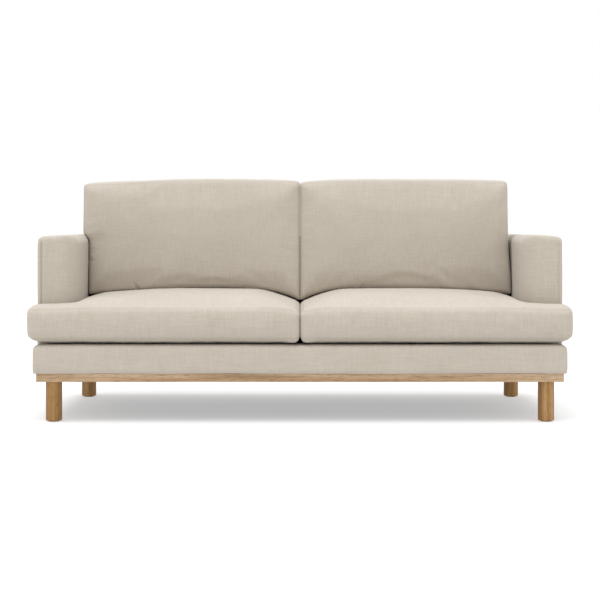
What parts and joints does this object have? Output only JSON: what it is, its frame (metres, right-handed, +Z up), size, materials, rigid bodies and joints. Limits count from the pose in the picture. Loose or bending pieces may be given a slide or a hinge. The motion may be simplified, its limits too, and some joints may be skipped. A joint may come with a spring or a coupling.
{
  "type": "sofa",
  "caption": "Upholstered sofa with loose seat cushions wrapping in front of low arms, loose back cushions, a slim oak plinth and round oak legs.",
  "frame": {"origin": "on the floor, under the middle of the sofa's bounding box", "axes": "+X to the right seen from the front, -Y towards the front, +Z up"},
  "size_m": [2, 0.9, 0.903],
  "materials": {
    "linen": "matte",
    "oak_plinth": "satin",
    "oak_leg": "satin",
    "frame_pine": "matte",
    "foam": "matte",
    "felt": "matte",
    "dust_cloth": "matte",
    "elastic_webbing": "matte",
    "zip_tape": "matte",
    "zinc_steel": "satin",
    "glide_plastic": "matte"
  },
  "bodies": {
    "sofa_frame": {"leg_front_left": "oak_leg", "leg_front_right": "oak_leg", "leg_rear_left": "oak_leg", "leg_rear_right": "oak_leg", "leg_glides": "glide_plastic", "leg_bolts": "zinc_steel", "leg_tee_nuts": "zinc_steel", "plinth_front": "oak_plinth", "plinth_rear": "oak_plinth", "plinth_left": "oak_plinth", "plinth_right": "oak_plinth", "plinth_blocks": "frame_pine", "plinth_screws": "zinc_steel", "base_rail_front": "frame_pine", "base_rail_rear": "frame_pine", "base_rail_left": "frame_pine", "base_rail_right": "frame_pine", "base_rail_centre": "frame_pine", "base_corner_blocks": "frame_pine", "seat_webbing": "elastic_webbing", "webbing_clips": "zinc_steel", "deck_pad": "felt", "deck_cloth": "linen", "base_cover_front": "linen", "base_cover_left": "linen", "base_cover_right": "linen", "dust_cover": "dust_cloth", "arm_front_post_left": "frame_pine", "arm_rear_post_left": "frame_pine", "arm_top_rail_left": "frame_pine", "arm_padding_left": "foam", "arm_cover_left": "linen", "arm_front_post_right": "frame_pine", "arm_rear_post_right": "frame_pine", "arm_top_rail_right": "frame_pine", "arm_padding_right": "foam", "arm_cover_right": "linen", "back_post_left": "frame_pine", "back_post_right": "frame_pine", "back_top_rail": "frame_pine", "back_webbing": "elastic_webbing", "back_padding": "foam", "back_cover": "linen", "outside_back_cover": "linen"},
    "seat_cushion_left": {"seat_core_left": "foam", "seat_cover_left": "linen", "seat_zip_left": "zip_tape"},
    "seat_slider_left": {"seat_slider_left": "zinc_steel"},
    "back_cushion_left": {"back_core_left": "foam", "back_cushion_cover_left": "linen", "back_zip_left": "zip_tape"},
    "back_slider_left": {"back_slider_left": "zinc_steel"},
    "seat_cushion_right": {"seat_core_right": "foam", "seat_cover_right": "linen", "seat_zip_right": "zip_tape"},
    "seat_slider_right": {"seat_slider_right": "zinc_steel"},
    "back_cushion_right": {"back_core_right": "foam", "back_cushion_cover_right": "linen", "back_zip_right": "zip_tape"},
    "back_slider_right": {"back_slider_right": "zinc_steel"}
  },
  "joints": [
    {"name": "seat_cushion_left_lift", "type": "slide", "parent": "sofa_frame", "child": "seat_cushion_left", "axis": [0, 0, 1], "range_m": [0, 0.45]},
    {"name": "back_cushion_left_lift", "type": "slide", "parent": "seat_cushion_left", "child": "back_cushion_left", "axis": [0, 0, 1], "range_m": [0, 0.3]},
    {"name": "seat_zip_left_slide", "type": "slide", "parent": "seat_cushion_left", "child": "seat_slider_left", "axis": [-1, 0, 0], "range_m": [0, 0.545]},
    {"name": "back_zip_left_slide", "type": "slide", "parent": "back_cushion_left", "child": "back_slider_left", "axis": [-1, 0, 0], "range_m": [0, 0.545]},
    {"name": "seat_cushion_right_lift", "type": "slide", "parent": "sofa_frame", "child": "seat_cushion_right", "axis": [0, 0, 1], "range_m": [0, 0.45]},
    {"name": "back_cushion_right_lift", "type": "slide", "parent": "seat_cushion_right", "child": "back_cushion_right", "axis": [0, 0, 1], "range_m": [0, 0.3]},
    {"name": "seat_zip_right_slide", "type": "slide", "parent": "seat_cushion_right", "child": "seat_slider_right", "axis": [1, 0, 0], "range_m": [0, 0.545]},
    {"name": "back_zip_right_slide", "type": "slide", "parent": "back_cushion_right", "child": "back_slider_right", "axis": [1, 0, 0], "range_m": [0, 0.545]}
  ]
}
